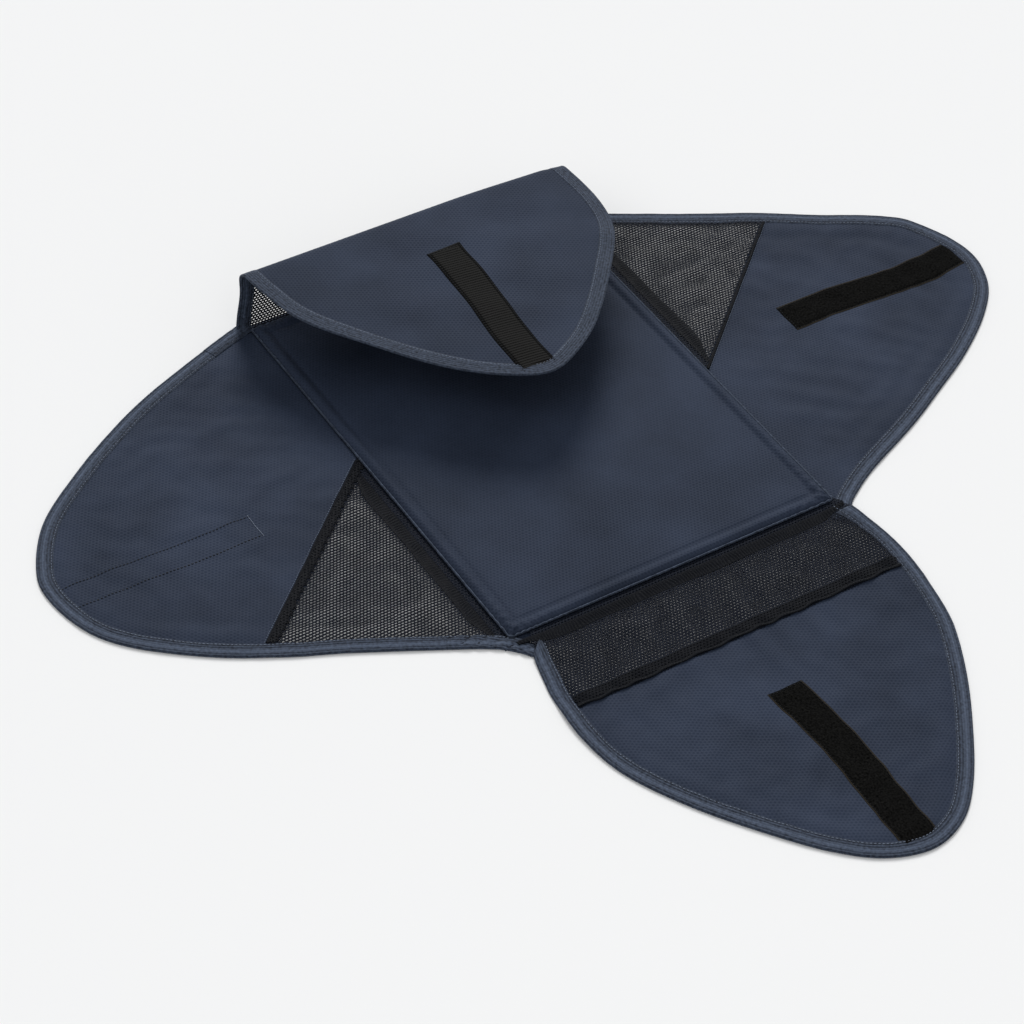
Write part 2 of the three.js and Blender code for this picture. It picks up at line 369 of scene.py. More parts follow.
class Wing:
    """A wing's place, outline and soft shape."""

    def __init__(self, name, degrees, folded=False, seed=0):
        turn = math.radians(degrees)
        self.name = name
        self.folded = folded
        self.seed = seed
        self.root = hinge(f"{name}_wall_fold")
        self.wall = float(np.linalg.norm(hinge(f"{name}_flap_fold") - self.root))
        self.out = np.array([math.cos(turn), math.sin(turn), 0.0])
        self.across = np.array([-math.sin(turn), math.cos(turn), 0.0])
        self.edge = spline(EDGES[name], EDGE_STEP)
        self.split = self.wall / 2
        self.settled = None

    def lift(self, v, u):
        """How far the cloth stands off its flat shape."""
        if self.folded:
            return self.sag(v, u)
        if self.settled is None:
            waved = 0.8 + 0.9 * waves(v, u, self.seed, 130)
        else:
            waved = self.settled(v, u) + 0.25 * waves(v, u, self.seed, 45)
        waved = MOST_LIFT * np.tanh(np.maximum(waved, 0) / MOST_LIFT)
        return waved * smooth((v - 4) / 30) + self.gathers(v, u) + self.overlap(v, u)

    def sag(self, v, u):
        t = np.clip((v - self.wall - 14) / 200, 0, 1)
        soft = (0.9 + waves(v, u, self.seed, 120)) * smooth((v - self.wall - 10) / 50)
        return 2.2 * smooth(t) + 1.2 * np.maximum(soft, 0)

    def droop(self, v, u):
        """The folded flap's height drops at the right end of its fold."""
        if not self.folded:
            return 0.0 * v
        low_end = smooth((-u - 40) / 120)
        rounded = smooth((-u - 128) / 26)
        raised = smooth((v - self.split) / (self.wall / 2))
        return -raised * (3.6 * low_end + 3.0 * rounded)

    def gathers(self, v, u):
        """Soft ripples that run out from the front wing's net seam."""
        if self.name != "front":
            return 0.0 * v
        start = self.wall + HEM_W
        fade = smooth((v - start + 16) / 14) * (1 - smooth((v - start) / 78))
        ripple = np.sin(2 * math.pi * (u / 27 + 0.35 * noise(u / 40, v / 90, 4)))
        return 0.6 * fade * (1 + ripple)

    def overlap(self, v, u):
        """The front wing's two inner corners lie on the ends of the side wings' tapes."""
        if self.name != "front":
            return 0.0 * v
        near = np.exp(-((v - 6) / 13) ** 2)
        return near * (2.5 * np.exp(-((u + 141) / 13) ** 2) + 2.5 * np.exp(-((u - 154) / 13) ** 2))

    def place(self, v, u, w):
        v, u, w = (np.asarray(x, float) for x in np.broadcast_arrays(v, u, w))
        w = w + self.lift(v, u)
        if self.folded:
            first = bend(v, 3.0)
            second = bend(v - self.wall, 9.0)
            low = v < self.split
            reach = np.where(low, first[0], -second[1])
            height = np.where(low, first[1], self.wall + second[0])
            angle = np.where(low, first[2], math.pi / 2 + second[2])
            reach = reach - np.sin(angle) * w
            height = height + np.cos(angle) * w + self.droop(v, u)
        else:
            reach, height = v, w
        return (self.root + reach[..., None] * self.out + u[..., None] * self.across
                + height[..., None] * np.array([0, 0, 1.0]))

    def follow(self, obj, zone):
        """Bakes the object's transform into its mesh; the zone is not used."""
        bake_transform(obj)
        return obj

    def outline(self, distance):
        """The cloth's closed outline, some way inside the wing's edge."""
        line = moved_in(self.edge, distance)
        return clip(line, np.array([-LEAD_IN, 0]), np.array([1.0, 0]))

    def tape_start(self, end):
        return TAPE_STARTS.get((self.name, ENDS[self.name][end]), (-LEAD_IN, None))

    def part_edge(self, zone, end=0):
        """The stretch of the edge that belongs to a zone: end picks the first or last lower one."""
        v = self.edge[:, 0]
        above = np.flatnonzero(v > self.split)
        first, last = above[0], above[-1]
        if zone == "upper":
            return slice(first, last + 1)
        inner = np.flatnonzero(v > self.tape_start(end)[0])
        if end == 0:
            return slice(inner[0], first + 1)
        return slice(last, inner[-1] + 1)


# The ends of each wing's edge, in the order that the edge runs.
ENDS = {"back": ("left", "right"), "front": ("right", "left"),
        "left": ("front", "back"), "right": ("back", "front")}

WINGS = {
    "back": Wing("back", 90, folded=True, seed=11),
    "front": Wing("front", -90, seed=23),
    "left": Wing("left", 180, seed=37),
    "right": Wing("right", 0, seed=51),
}


# ---- Cloth simulation ----

def settle(wing):
    """A wing with a little more cloth than its bound edge, let down on the floor by simulation."""
    v = np.arange(0, wing.edge[:, 0].max() + SETTLE_STEP, SETTLE_STEP)
    u = np.arange(wing.edge[:, 1].min(), wing.edge[:, 1].max() + SETTLE_STEP, SETTLE_STEP)
    grid = np.stack(np.meshgrid(v, u, indexing="ij"), -1).reshape(-1, 2)
    within = inside(grid, wing.outline(BINDING_W / 2))
    faces = [f for f in grid_faces(len(v), len(u)) if within[f].all()]
    faces, (flat, at) = used_only(faces, [grid, np.arange(len(grid))])
    start = 2.0 + 1.2 * waves(flat[:, 0], flat[:, 1], wing.seed, 100)
    rim = sorted({i for edge in open_edges(faces) for i in edge})
    start[rim] = 1.0
    cloth = solid("settling", np.column_stack([flat, start]), faces, flat, CLOTH)
    cloth.vertex_groups.new(name="held").add(rim, 1.0, "REPLACE")
    simulation = cloth.modifiers.new("cloth", "CLOTH")
    simulation.settings.quality = 6
    simulation.settings.mass = 0.08
    simulation.settings.tension_stiffness = 25
    simulation.settings.compression_stiffness = 25
    simulation.settings.bending_stiffness = 0.6
    simulation.settings.vertex_group_mass = "held"
    simulation.settings.shrink_min = -0.012
    simulation.settings.shrink_max = -0.012
    simulation.collision_settings.distance_min = 0.001
    bpy.ops.mesh.primitive_plane_add(size=2, location=(0, 0, -MM))
    table = bpy.context.object
    table.modifiers.new("collision", "COLLISION")
    table.collision.thickness_outer = 0.001
    for number in range(1, SETTLE_FRAMES + 1):
        bpy.context.scene.frame_set(number)
    done = cloth.evaluated_get(bpy.context.evaluated_depsgraph_get())
    heights = np.zeros(len(grid))
    heights[at] = [point.co.z / MM - 1.0 for point in done.data.vertices]
    bpy.context.scene.frame_set(1)
    for obj in (cloth, table):
        bpy.data.objects.remove(obj)
    wing.settled = Field((v[0], u[0]), SETTLE_STEP, heights.reshape(len(v), len(u)))


# ---- Sheets of cloth and net ----

def in_zone(faces, points, wing, zone):
    middle = np.array([points[np.asarray(f)][:, 0].mean() for f in faces])
    wanted = middle < wing.split if zone == "lower" else middle >= wing.split
    return [f for f, keep in zip(faces, wanted) if keep]


def used_only(faces, arrays):
    used = np.unique(np.concatenate([np.asarray(f) for f in faces]))
    place = {int(old): new for new, old in enumerate(used)}
    return [[place[int(i)] for i in f] for f in faces], [a[used] for a in arrays]


def cloth_sheet(name, wing, polygon, zone, made={}):
    """A closed sheet of cloth over part of a wing, cut at the middle of its wall."""
    key = (wing.name, polygon.tobytes())
    if key not in made:
        made[key] = triangulate(polygon, CLOTH_STEP)
    points, faces = made[key]
    faces, (points,) = used_only(in_zone(faces, points, wing, zone), [points])
    top = wing.place(points[:, 0], points[:, 1], 0.0)
    low = wing.place(points[:, 0], points[:, 1], -CLOTH_T)
    closed = close_sheet(faces, len(points))
    both = np.concatenate([top, low])
    obj = solid(name, both, closed, np.concatenate([points, points]), CLOTH, sharp=50)
    return wing.follow(obj, zone), flat_size(points, faces)


def hexagon_lattice(polygon, pitch, shift):
    low, high = polygon.min(0) - pitch, polygon.max(0) + pitch
    first, last = low[0] / pitch * 2 / math.sqrt(3), high[0] / pitch * 2 / math.sqrt(3)
    rows = np.arange(math.floor(first), math.ceil(last))
    columns = np.arange(math.floor(low[1] / pitch) - 1, math.ceil(high[1] / pitch) + 1)
    row, column = np.meshgrid(rows, columns)
    centre = np.stack([
        (row * pitch * math.sqrt(3) / 2).ravel() + shift[0],
        ((column + (row % 2) / 2) * pitch).ravel() + shift[1],
    ], 1)
    return centre[inside(centre, polygon)]


def net_cells(polygon, pitch, hole, shift, turned):
    """A net's flat points, how far each is up its strand (0 at a hole), and faces of its upper side.

    Holes are hole[0] by hole[1] from their middle, across and along their rows; rows run along u,
    or along v when turned.
    """
    if turned:
        points, rise, faces = net_cells(polygon[:, ::-1], pitch, hole, shift, False)
        return points[:, ::-1], rise, [f[::-1] for f in faces]
    centre = hexagon_lattice(polygon, pitch, shift)
    angles = math.pi / 3 * np.arange(6)
    ring = np.stack([np.cos(angles), np.sin(angles)], 1)
    gap = ring * np.array(hole)
    reach = pitch / math.sqrt(3)
    corner = (centre[:, None, :] + reach * ring).reshape(-1, 2)
    _, first, shared = np.unique(np.round(corner, 2), axis=0, return_index=True, return_inverse=True)
    shared = shared.reshape(-1)
    between = (centre[:, None, :] + 0.45 * reach * ring + 0.55 * gap).reshape(-1, 2)
    holes = (centre[:, None, :] + gap).reshape(-1, 2)
    points = np.concatenate([corner[first], between, holes])
    rise = np.concatenate([np.ones(len(first)), np.full(len(between), 0.8), np.zeros(len(holes))])
    start_between = len(first)
    start_holes = start_between + len(between)
    faces = []
    for cell in range(len(centre)):
        for k in range(6):
            a, b = 6 * cell + k, 6 * cell + (k + 1) % 6
            faces.append([shared[a], shared[b], start_between + b, start_between + a])
            faces.append([start_between + a, start_between + b, start_holes + b, start_holes + a])
    return points, rise, faces


def net_sheet(name, wing, polygon, zone, level=0.2, shift=(0, 0), double=False):
    """A closed net with rounded strands over part of a wing, cut at the middle of its wall."""
    turned = wing.name in ("left", "right")
    hole = DOUBLED_HOLE if double else NET_HOLES[wing.name]
    points, rise, faces = net_cells(polygon, NET_PITCH, hole, shift, turned)
    cells = np.array([points[np.asarray(f)][:, 0].mean() for f in faces]).reshape(-1, 12).mean(1)
    wanted = cells < wing.split if zone == "lower" else cells >= wing.split
    faces = [f for f, keep in zip(faces, np.repeat(wanted, 12)) if keep]
    faces, (points, rise) = used_only(faces, [points, rise])
    top = wing.place(points[:, 0], points[:, 1], level + rise * NET_HALF_T)
    low = wing.place(points[:, 0], points[:, 1], level - rise * NET_HALF_T)
    total = len(points)
    at_hole = rise == 0
    lower_of = np.where(at_hole, np.arange(total), np.arange(total) + total)
    closed = [list(f) for f in faces]
    closed += [[int(lower_of[i]) for i in reversed(f)] for f in faces]
    for a, b in open_edges(faces):
        if not at_hole[a]:
            closed.append([a, a + total, b + total, b])
    both = np.concatenate([top, low])
    flat = np.concatenate([points, points])
    closed, (both, flat) = used_only(closed, [both, flat])
    obj = solid(name, both, closed, flat, HEM if double else NET)
    return wing.follow(obj, zone), flat_size(points, faces)


def two_sided(name, top, low, faces, flat, material):
    """A closed piece from the upper and lower points of one sheet of faces."""
    both = np.concatenate([top, low])
    return solid(name, both, close_sheet(faces, len(top)), np.concatenate([flat, flat]), material)


def gathered_band(name, wing, first, last):
    """Net gathered into ribs beside a wing's fold line, from u = first to u = last, tapered at its ends. It
    is solid and near-black, with no holes: painted shade of the valley along the fold line.
    """
    share, u = np.meshgrid(np.linspace(0, 1, 14), np.arange(first, last, 0.45), indexing="ij")
    taper = smooth((u - first) / 30) * smooth((last - u) / 30)
    wide = BAND_W * (0.25 + 0.75 * taper) * (1 + 0.10 * noise(u / 25, 0 * u, 14))
    v = -1.5 + share * (wide + 1.5)
    rib = np.cos(2 * math.pi * (u / 2.6 + 0.7 * noise(u / 9, share * 1.2, 12)))
    swell = np.sin(math.pi * share) * (0.6 + 0.4 * noise(u / 18, share, 13))
    top = wing.place(v, u, 0.62 + 0.45 * swell + 0.30 * rib * (0.2 + 0.8 * np.sin(math.pi * share)))
    low = wing.place(v, u, 0.1)
    faces = grid_faces(*v.shape)
    flat = np.stack([v, u], -1).reshape(-1, 2)
    obj = two_sided(name, top.reshape(-1, 3), low.reshape(-1, 3), faces, flat, HEM)
    return wing.follow(obj, "lower")


# ---- Sweeps along a line in a wing's flat coordinates ----

def sweep_points(place, line, across, profile, change=None):
    """Rings of a profile of (in across, up) points carried along a line."""
    run = np.concatenate([[0], np.cumsum(np.linalg.norm(np.diff(line, axis=0), axis=1))])
    shift, up = profile[:, 0], profile[:, 1]
    v = line[:, 0:1] + across[:, 0:1] * shift
    u = line[:, 1:2] + across[:, 1:2] * shift
    w = np.broadcast_to(up, v.shape).copy()
    if change:
        w = w + change(run[:, None], v, u, shift[None, :], up[None, :])
    around = np.concatenate([[0], np.cumsum(np.linalg.norm(np.diff(profile, axis=0), axis=1))])
    uv = np.stack(np.broadcast_arrays(run[:, None], around[None, :]), -1)
    return place(v, u, w).reshape(-1, 3), uv.reshape(-1, 2)


def tube_faces(rings, sides):
    faces = []
    for i in range(rings - 1):
        for k in range(sides):
            a, b = i * sides + k, i * sides + (k + 1) % sides
            faces.append([a, b, b + sides, a + sides])
    faces.append(list(reversed(range(sides))))
    faces.append([(rings - 1) * sides + k for k in range(sides)])
    return faces


def turned_over(faces):
    return [list(reversed(f)) for f in faces]


def facing_out(points, faces):
    """The faces, turned over if the closed mesh is inside out."""
    total = 0.0
    centre = points.mean(0)
    for f in faces:
        p = points[f] - centre
        for k in range(1, len(f) - 1):
            total += np.dot(p[0], np.cross(p[k], p[k + 1]))
    return faces if total > 0 else turned_over(faces)


def binding_profile():
    """The folded tape's section: (in from the edge, w), from its inner edge over the top and round."""
    over = np.linspace(BINDING_W, 1.0, 30)
    ribs = 0.16 * np.cos(2 * math.pi * (over - 1.2) / 2.6) * smooth((BINDING_W - 2.4 - over) / 0.8)
    top = np.stack([over, 0.80 + 0.30 * np.sin(math.pi * over / BINDING_W) + ribs], 1)
    top[0, 1], top[1, 1] = 0.10, 0.55
    angles = np.linspace(math.radians(75), math.radians(-75), 7) + math.pi
    nose = np.stack([1.05 + 1.05 * np.cos(angles), -0.38 - 1.0 * np.sin(-angles)], 1)
    nose = nose if nose[0, 1] > nose[-1, 1] else nose[::-1]
    under = np.linspace(1.0, BINDING_W, 9)
    bottom = np.stack([under, np.full(9, -1.36)], 1)
    bottom[-1, 1], bottom[-2, 1] = -1.05, -1.28
    return np.concatenate([top, nose, bottom])


BINDING = binding_profile()
ROLL = np.array([(1.3 * math.cos(a), 0.75 * math.sin(a)) for a in np.arange(10) * math.pi / 5])


def pinch(run, v, u, shift, up):
    """The stitch row's groove in a binding, puckered between stitches."""
    groove = np.exp(-((shift - STITCH_IN) / 0.75) ** 2)
    pucker = 0.12 * np.cos(2 * math.pi * run / STITCH_PITCH)
    side = np.where(up > -0.4, 1.0, -1.0)
    return -side * groove * (0.26 + pucker) + 0.08 * np.maximum(side, 0) * noise(run / 5, shift / 4, 3)


def ruched(reach, depth):
    """A tape that is gathered near its corner: uneven slanted creases that fade out at v = reach."""
    def change(run, v, u, shift, up):
        near = 1 - smooth((v - 0.15 * reach) / (0.85 * reach))
        slant = run / 13.0 + shift / 10.0 + 0.5 * noise(run / 25, shift / 14, 21)
        crease = 1 - 2 * np.exp(-(np.sin(math.pi * slant) / 0.62) ** 2)
        uneven = 0.75 + 0.25 * noise(run / 17, shift / 30, 23)
        moved = depth * near * (crease * uneven + 0.35 * noise(run / 2.6, shift / 2.9, 22))
        return pinch(run, v, u, shift, up) + np.where(up > -0.4, moved, 0.0)
    return change


def joined(run, v, u, shift, up):
    """The tape's loose end, laid over the tape that runs on: a small step at v = TAPE_JOINT."""
    over = smooth((TAPE_JOINT - v) / 1.2)
    edge = np.exp(-((v - TAPE_JOINT - 1.2) / 1.1) ** 2)
    step = np.where(up > -0.4, 0.42 * over - 0.25 * edge, 0.0)
    return ruched(26.0, 0.4)(run, v, u, shift, up) + step


TAPE_CHANGES = {
    "left_wall_tape_front": ruched(92.0, 0.75),
    "left_wall_tape_back": joined,
    "back_wall_tape_left": ruched(46.0, 0.5),
}


def slanted(wing, line, across, end):
    """A tape's directions across it, turned towards its slanted start near its corner."""
    slant = wing.tape_start(end)[1]
    if slant is None:
        return across
    corner = line[0] if end == 0 else line[-1]
    share = smooth(np.linalg.norm(line - corner, axis=1) / 15)[:, None]
    return share * across + (1 - share) * np.array(slant)


def binding_piece(name, wing, zone, end):
    part = wing.part_edge(zone, end)
    line = wing.edge[part]
    across = to_the_right(tangents(wing.edge))[part]
    if zone == "lower":
        across = slanted(wing, line, across, end)
    points, uv = sweep_points(wing.place, line, across, BINDING, TAPE_CHANGES.get(name, pinch))
    faces = facing_out(points, tube_faces(len(line), len(BINDING)))
    obj = solid(name, points, faces, uv, TAPE)
    return wing.follow(obj, zone)


def hem_roll(name, wing, line, zone, level):
    """The net's rolled edge along a seam, a little lumpy where its stitches pull it in."""
    below = line[:, 0] <= wing.split
    line = line[below if zone == "lower" else ~below]
    across = to_the_right(tangents(line))

    def lumps(run, v, u, shift, up):
        pulled = 0.14 * np.cos(2 * math.pi * run / 2.4) + 0.16 * noise(run / 6, shift, 31)
        return level + np.where(up > 0, pulled, 0.0)

    points, uv = sweep_points(wing.place, line, across, ROLL, lumps)
    obj = solid(name, points, facing_out(points, tube_faces(len(line), len(ROLL))), uv, HEM)
    return wing.follow(obj, zone)


# ---- Stitches ----

def stitch_shape(length, width, height):
    """One stitch: (along, across, up) points and faces, with its ends dipping into the cloth."""
    rings, sides = 5, 6
    along = np.linspace(-length / 2, length / 2, rings + 2)
    fat = np.sqrt(np.clip(1 - (2 * along / length) ** 2, 0, 1)) * 0.75 + 0.25
    points = [[along[0], 0, -height * 0.9]]
    for i in range(1, rings + 1):
        for k in range(sides):
            a = 2 * math.pi * k / sides
            rise = height * (1 - 1.6 * (2 * along[i] / length) ** 4)
            points.append([along[i], fat[i] * width / 2 * math.cos(a),
                           rise + fat[i] * height / 2 * math.sin(a)])
    points.append([along[-1], 0, -height * 0.9])
    faces = []
    for k in range(sides):
        faces.append([0, 1 + (k + 1) % sides, 1 + k])
        last = 1 + (rings - 1) * sides
        faces.append([len(points) - 1, last + k, last + (k + 1) % sides])
    for i in range(rings - 1):
        for k in range(sides):
            a, b = 1 + i * sides + k, 1 + i * sides + (k + 1) % sides
            faces.append([a, b, b + sides, a + sides])
    return np.array(points), faces


class Thread:
    """Rows of stitches gathered into one piece."""

    def __init__(self, place):
        self.place = place
        self.points = []
        self.faces = []
        self.count = 0

    def row(self, line, w, face=1, length=2.1, width=0.55, pitch=STITCH_PITCH, wanted=None):
        """Stitches along a line of (v, u) points; face is 1 on the inner face and -1 on the outer."""
        at = resample(line, pitch)
        along = tangents(at)
        across = to_the_right(along)
        shape, faces = stitch_shape(length, width, 0.34)
        if face < 0:
            faces = turned_over(faces)
        for centre, t, n in zip(at, along, across):
            if wanted and not wanted(centre):
                continue
            v = centre[0] + t[0] * shape[:, 0] + n[0] * shape[:, 1]
            u = centre[1] + t[1] * shape[:, 0] + n[1] * shape[:, 1]
            self.points.append(self.place(v, u, w + face * shape[:, 2]))
            self.faces += [[i + self.count for i in f] for f in faces]
            self.count += len(shape)

    def piece(self, name, material):
        points = np.concatenate(self.points)
        obj = solid(name, points, self.faces, points[:, :2], material)
        return obj


# ---- Materials ----

class Nodes:
    """A short way to build a node material."""

    def __init__(self, name, **sockets):
        self.material = bpy.data.materials.new(name)
        self.material.use_nodes = True
        self.tree = self.material.node_tree
        self.shader = self.tree.nodes["Principled BSDF"]
        for socket, value in sockets.items():
            self.shader.inputs[socket.replace("_", " ")].default_value = value
        self.uv = self.add("ShaderNodeTexCoord").outputs["UV"]
        self.object = self.add("ShaderNodeTexCoord").outputs["Object"]

    def add(self, kind, **settings):
        node = self.tree.nodes.new(kind)
        for key, value in settings.items():
            setattr(node, key, value)
        return node

    def link(self, a, b):
        self.tree.links.new(a, b)

    def math(self, operation, a, b=None):
        node = self.add("ShaderNodeMath", operation=operation)
        for socket, value in zip(node.inputs, (a, b)):
            if value is None:
                continue
            if isinstance(value, (int, float)):
                socket.default_value = value
            else:
                self.link(value, socket)
        return node.outputs[0]

    def noise(self, scale, detail=3.0, vector=None):
        node = self.add("ShaderNodeTexNoise")
        node.inputs["Scale"].default_value = scale
        node.inputs["Detail"].default_value = detail
        self.link(vector or self.uv, node.inputs["Vector"])
        return node.outputs["Fac"]

    def ripple(self, x_share, y_share, pitch):
        """A cosine wave over the flat cloth, along (x_share, y_share), with the pitch in millimetres."""
        split = self.add("ShaderNodeSeparateXYZ")
        self.link(self.uv, split.inputs[0])
        x = self.math("MULTIPLY", split.outputs[0], 2 * math.pi * x_share / pitch)
        y = self.math("MULTIPLY", split.outputs[1], 2 * math.pi * y_share / pitch)
        return self.math("COSINE", self.math("ADD", x, y))

    def across(self):
        """The distance across a tape or strip, in millimetres."""
        split = self.add("ShaderNodeSeparateXYZ")
        self.link(self.uv, split.inputs[0])
        return split.outputs[1]

    def mix(self, share, dark, light):
        """A colour from dark to light as share goes from 0 to 1."""
        node = self.add("ShaderNodeValToRGB")
        node.color_ramp.elements[0].color = (*dark, 1)
        node.color_ramp.elements[1].color = (*light, 1)
        self.link(share, node.inputs["Fac"])
        return node.outputs["Color"]

    def to_range(self, value, low, high, from_low=-1.0, from_high=1.0):
        node = self.add("ShaderNodeMapRange")
        self.link(value, node.inputs["Value"])
        node.inputs["From Min"].default_value = from_low
        node.inputs["From Max"].default_value = from_high
        node.inputs["To Min"].default_value = low
        node.inputs["To Max"].default_value = high
        return node.outputs["Result"]

    def bump(self, height, distance, strength):
        node = self.add("ShaderNodeBump")
        node.inputs["Distance"].default_value = distance * MM
        node.inputs["Strength"].default_value = strength
        self.link(height, node.inputs["Height"])
        return node.outputs["Normal"]

    def finish(self, color, roughness, normal):
        self.link(color, self.shader.inputs["Base Color"])
        self.link(roughness, self.shader.inputs["Roughness"])
        self.link(normal, self.shader.inputs["Normal"])
        return self.material


def cloth_material():
    """Navy polyester with a small diamond weave that reads as a faint twill. Its colour is darkened in the
    weave's pits as painted shade, and its broad mottling is partly random tone and partly painted light and
    shade of soft folds.
    """
    m = Nodes("navy_cloth", Sheen_Weight=0.04, Sheen_Roughness=0.45, Specular_IOR_Level=0.16)
    m.shader.inputs["Sheen Tint"].default_value = (0.55, 0.65, 0.85, 1)
    pits = m.math("ADD", m.ripple(0, 1, WEAVE), m.ripple(COS_30, 0.5, WEAVE))
    pits = m.math("ADD", pits, m.ripple(-COS_30, 0.5, WEAVE))
    yarn = m.math("ADD", m.ripple(1, 0, 0.42), m.ripple(0, 1, 0.42))
    height = m.math("SUBTRACT", m.math("MULTIPLY", yarn, 0.2), pits)
    # Broad mottling: partly random tone, partly painted light and shade of soft folds.
    mottle_and_fold_shade = m.to_range(m.noise(0.011, 4.0), 0.24, 0.64, 0.32, 0.68)
    # Darker in the weave's pits: painted shade.
    shade = m.math("ADD", mottle_and_fold_shade, m.to_range(pits, 0.11, -0.07, -1.5, 3.0))
    slub = m.math("SUBTRACT", m.noise(0.45, 3.0), 0.5)
    tone = m.math("ADD", shade, m.math("MULTIPLY", slub, 0.30))
    color = m.mix(tone, (0.006, 0.010, 0.020), (0.036, 0.050, 0.087))
    roughness = m.to_range(pits, 0.70, 0.90, -1.5, 3.0)
    return m.finish(color, roughness, m.bump(height, 0.06, 0.8))


def binding_material():
    """Woven tape, lighter than the cloth: ribs along it and a speckled weave. Its rib troughs and a line
    along the stitch groove are darkened as painted shade, and a lighter band towards its folded edge is
    partly wear and partly painted highlight.
    """
    m = Nodes("navy_tape", Sheen_Weight=0.08, Sheen_Roughness=0.4, Specular_IOR_Level=0.2)
    m.shader.inputs["Sheen Tint"].default_value = (0.6, 0.7, 0.9, 1)
    across = m.across()
    rib = m.ripple(0, 1, 2.1)
    pick = m.math("MULTIPLY", m.ripple(0.8, 0.6, 0.9), m.ripple(0.8, -0.6, 0.9))
    speck = m.noise(0.42, 4.0)
    height = m.math("ADD", m.math("ADD", rib, pick), m.math("MULTIPLY", speck, 1.5))

    def line_at(middle, half_width):
        off = m.math("ABSOLUTE", m.math("SUBTRACT", across, middle))
        return m.to_range(off, 1.0, 0.0, 0.0, half_width)

    # Darker in the rib troughs: painted shade.
    tone = m.math("ADD", m.to_range(rib, 0.0, 0.20), m.math("MULTIPLY", m.noise(0.04, 3.0), 0.16))
    tone = m.math("ADD", tone, m.to_range(speck, -0.16, 0.44, 0.25, 0.75))
    # Lighter band towards the folded edge: partly wear, partly painted highlight.
    tone = m.math("ADD", tone, m.math("MULTIPLY", line_at(8.4, 2.6), 0.40))
    # Darker line along the stitch groove: painted shade.
    tone = m.math("SUBTRACT", tone, m.math("MULTIPLY", line_at(2.3, 0.9), 0.28))
    color = m.mix(tone, (0.005, 0.008, 0.016), (0.105, 0.135, 0.200))
    roughness = m.to_range(pick, 0.80, 0.58)
    return m.finish(color, roughness, m.bump(height, 0.14, 0.9))


def net_material(name, light, gloss):
    """Black polyester net."""
    m = Nodes(name, Specular_IOR_Level=gloss)
    twist = m.ripple(1, 1, 0.5)
    tone = m.math("ADD", m.to_range(twist, 0.0, 0.4), m.math("MULTIPLY", m.noise(0.05, 3.0), 0.5))
    color = m.mix(tone, (0.0008, 0.0011, 0.0022), light)
    roughness = m.to_range(twist, 0.60, 0.42)
    return m.finish(color, roughness, m.bump(twist, 0.08, 0.8))


def loop_material():
    """Brushed black loop pile between dull olive selvages."""
    m = Nodes("black_loop_pile", Specular_IOR_Level=0.03)
    across = m.across()
    from_middle = m.math("ABSOLUTE", across)
    pile = m.noise(0.62, 5.0)
    patch = m.noise(0.10, 3.0)
    tone = m.math("ADD", m.to_range(pile, -0.1, 0.75, 0.3, 0.75), m.math("MULTIPLY", patch, 0.25))
    black = m.mix(tone, (0.0002, 0.0002, 0.0002), (0.0125, 0.0122, 0.0115))
    seam = m.to_range(from_middle, 0.0, 1.0, 14.1, 14.5)
    both = m.add("ShaderNodeMix", data_type="RGBA")
    m.link(seam, both.inputs["Factor"])
    m.link(black, both.inputs[6])
    m.link(m.mix(pile, (0.016, 0.014, 0.011), (0.040, 0.034, 0.026)), both.inputs[7])
    roughness = m.to_range(pile, 0.98, 0.8, 0.0, 1.0)
    return m.finish(both.outputs[2], roughness, m.bump(pile, 0.6, 1.0))


def hook_material():
    """Woven black hook tape: ribs across it between flat dark edges."""
    m = Nodes("black_hook_tape", Specular_IOR_Level=0.05)
    across = m.across()
    edge = m.to_range(m.math("ABSOLUTE", across), 0.0, 1.0, 12.2, 12.8)
    rib = m.ripple(1, 0.12, 2.7)
    grain = m.noise(0.7, 4.0)
    tone = m.math("ADD", m.to_range(rib, 0.12, 0.62), m.to_range(grain, -0.2, 0.3, 0.25, 0.75))
    tone = m.math("SUBTRACT", tone, edge)
    color = m.mix(tone, (0.0012, 0.0012, 0.0011), (0.0190, 0.0185, 0.0175))
    roughness = m.to_range(grain, 0.50, 0.75, 0.0, 1.0)
    return m.finish(color, roughness, m.bump(rib, 0.25, 0.8))


def thread_material(name, dark, light):
    m = Nodes(name, Specular_IOR_Level=0.2)
    twist = m.noise(2.2, 2.0)
    color = m.mix(twist, dark, light)
    roughness = m.to_range(twist, 0.5, 0.7, 0.0, 1.0)
    return m.finish(color, roughness, m.bump(twist, 0.05, 0.6))


def board_material():
    """Pressed grey plastic board inside the pad."""
    m = Nodes("pressed_board", Specular_IOR_Level=0.4)
    grain = m.noise(900.0, 4.0, m.object)
    color = m.mix(grain, (0.030, 0.032, 0.036), (0.060, 0.064, 0.070))
    roughness = m.to_range(grain, 0.45, 0.65, 0.0, 1.0)
    return m.finish(color, roughness, m.bump(grain, 0.08, 0.6))


CLOTH = cloth_material()
TAPE = binding_material()
NET = net_material("black_net", (0.0100, 0.0150, 0.0300), 0.12)
# A darker copy of the net, for hems, rolled edges and gathered bands: painted shade of doubled net and
# folds.
HEM = net_material("black_net_hem", (0.0060, 0.0075, 0.0120), 0.10)
LOOP = loop_material()
HOOK = hook_material()
LIGHT_THREAD = thread_material("blue_grey_thread", (0.11, 0.135, 0.19), (0.23, 0.27, 0.35))
DARK_THREAD = thread_material("dark_thread", (0.001, 0.0015, 0.003), (0.006, 0.008, 0.013))
BOARD = board_material()


# ---- Strips of hook and loop tape ----

